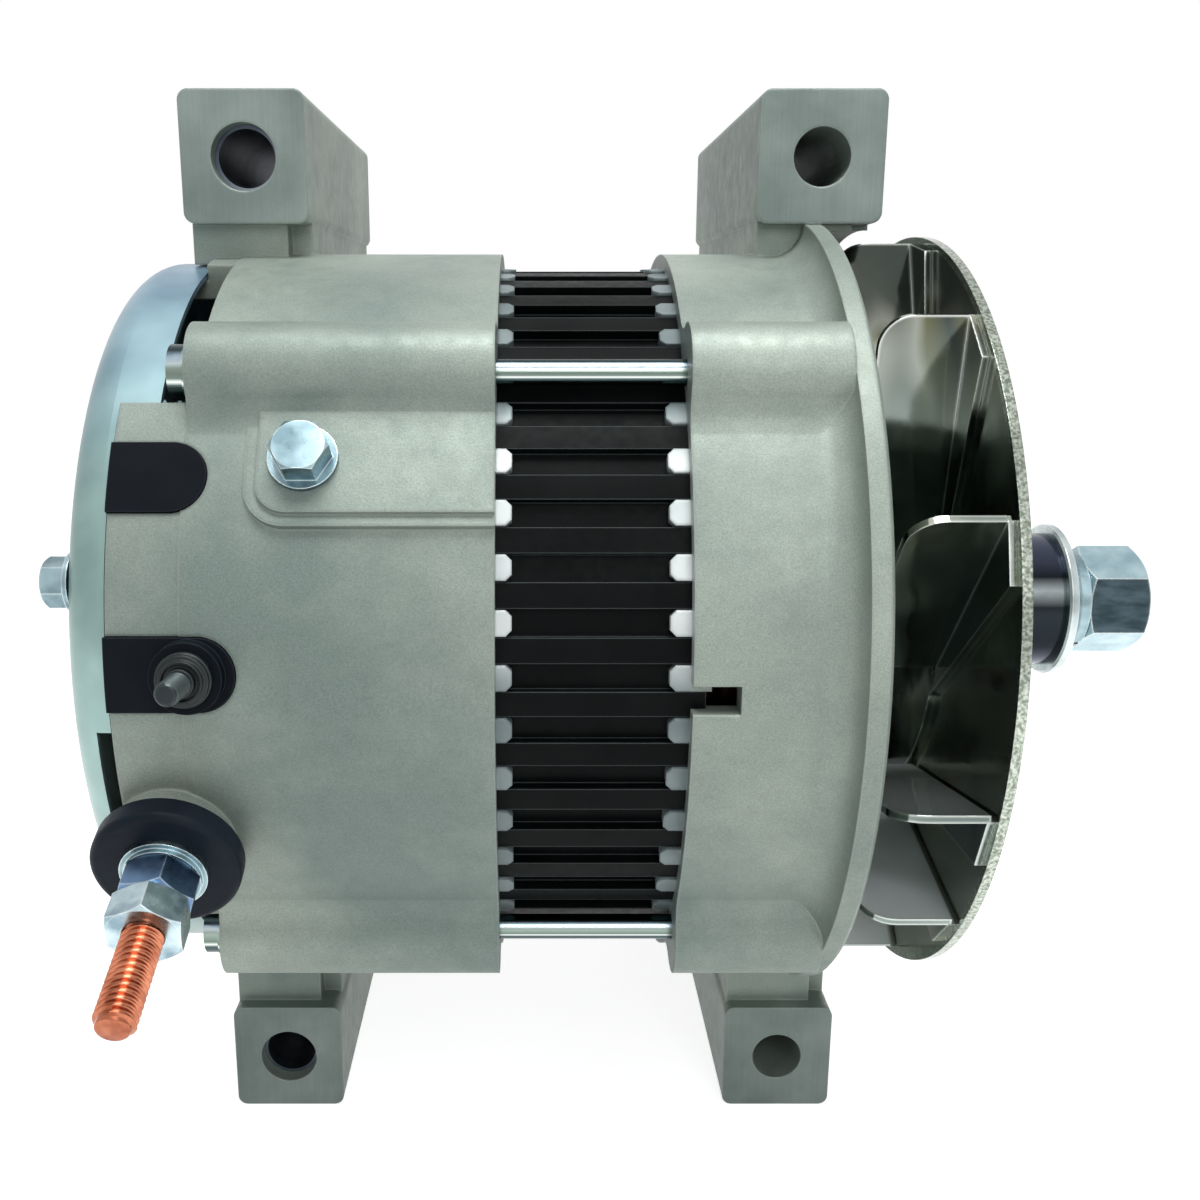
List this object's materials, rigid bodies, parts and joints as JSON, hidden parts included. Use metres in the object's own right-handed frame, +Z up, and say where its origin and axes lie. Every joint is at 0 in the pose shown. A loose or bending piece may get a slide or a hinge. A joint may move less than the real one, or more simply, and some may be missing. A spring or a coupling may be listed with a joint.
{
  "type": "engine alternator",
  "caption": "Pad-mounted engine alternator: two cast housings with long bolt lugs clamp a grooved black stator; external fan and spacer on the shaft nose, threaded output stud.",
  "frame": {"origin": "centre of the four mounting holes, on the plane of the pad faces", "axes": "+X along the shaft towards the pulley end, +Y out of the pad faces towards the engine, +Z up"},
  "size_m": [0.2516, 0.2174, 0.258],
  "materials": {
    "cast_aluminium": "satin",
    "zinc_plate": "semi gloss",
    "bright_plate": "gloss",
    "steel": "satin",
    "stator_black": "semi gloss",
    "copper": "satin",
    "black_plastic": "matte",
    "dark_steel": "satin",
    "ivory_plastic": "matte",
    "brown_plastic": "matte",
    "plain_aluminium": "satin",
    "carbon": "matte"
  },
  "bodies": {
    "housing": {"front_housing": "cast_aluminium", "rear_housing": "cast_aluminium", "mount_bushings": "steel", "stator_core": "stator_black", "stator_winding": "copper", "through_bolts": "zinc_plate", "rear_cover": "zinc_plate", "cover_screws": "zinc_plate", "pad_bolt": "zinc_plate", "blanking_plug": "black_plastic", "signal_insulator": "black_plastic", "signal_collar": "dark_steel", "signal_stud": "dark_steel", "output_insulator": "black_plastic", "output_washers": "zinc_plate", "output_lower_nut": "steel", "output_upper_nut": "zinc_plate", "output_stud": "copper", "output_bus_bar": "copper", "negative_heat_sink": "plain_aluminium", "positive_heat_sink": "plain_aluminium", "heat_sink_insulators": "brown_plastic", "rectifier_diodes": "dark_steel", "rectifier_screws": "steel", "regulator": "black_plastic", "regulator_screws": "steel", "brush_holder": "black_plastic", "brush_holder_screws": "steel", "inner_brush_spring": "steel", "outer_brush_spring": "steel", "front_bearing_outer_race": "steel", "bearing_retainer": "steel", "retainer_screws": "steel", "rear_bearing_outer_race": "steel"},
    "rotor": {"rotor_shaft": "steel", "shaft_key": "dark_steel", "front_claw_pole": "dark_steel", "rear_claw_pole": "dark_steel", "rotor_core": "dark_steel", "field_bobbin": "ivory_plastic", "field_coil": "copper", "slip_ring_sleeve": "brown_plastic", "slip_rings": "copper", "fan_collar": "steel", "fan_blades": "bright_plate", "fan_disc": "bright_plate", "pulley_spacer": "bright_plate", "cone_washer": "zinc_plate", "spring_washer": "zinc_plate", "shaft_nut": "zinc_plate", "front_bearing_inner_race": "steel", "rear_bearing_inner_race": "steel"},
    "front_ball_set": {"front_bearing_balls": "steel", "front_bearing_cage": "brown_plastic"},
    "rear_ball_set": {"rear_bearing_balls": "steel", "rear_bearing_cage": "brown_plastic"},
    "inner_brush": {"inner_brush": "carbon"},
    "outer_brush": {"outer_brush": "carbon"}
  },
  "joints": [
    {"name": "rotor_spin", "type": "hinge", "parent": "housing", "child": "rotor", "pos_m": [0, -0.092, 0.00785], "axis": [1, 0, 0], "continuous": true},
    {"name": "front_ball_spin", "type": "hinge", "parent": "housing", "child": "front_ball_set", "pos_m": [0, -0.092, 0.00785], "axis": [1, 0, 0], "continuous": true},
    {"name": "rear_ball_spin", "type": "hinge", "parent": "housing", "child": "rear_ball_set", "pos_m": [0, -0.092, 0.00785], "axis": [1, 0, 0], "continuous": true},
    {"name": "inner_brush_slide", "type": "slide", "parent": "housing", "child": "inner_brush", "axis": [0, 0, 1], "range_m": [0, 0.005], "stiffness_N_per_m": 200, "springref_m": -0.01, "deforming": ["inner_brush_spring"]},
    {"name": "outer_brush_slide", "type": "slide", "parent": "housing", "child": "outer_brush", "axis": [0, 0, 1], "range_m": [0, 0.005], "stiffness_N_per_m": 200, "springref_m": -0.01, "deforming": ["outer_brush_spring"]}
  ],
  "couplings": [
    {"joint": "front_ball_spin", "follows": "rotor_spin", "ratio": 0.3713},
    {"joint": "rear_ball_spin", "follows": "rotor_spin", "ratio": 0.3807}
  ]
}
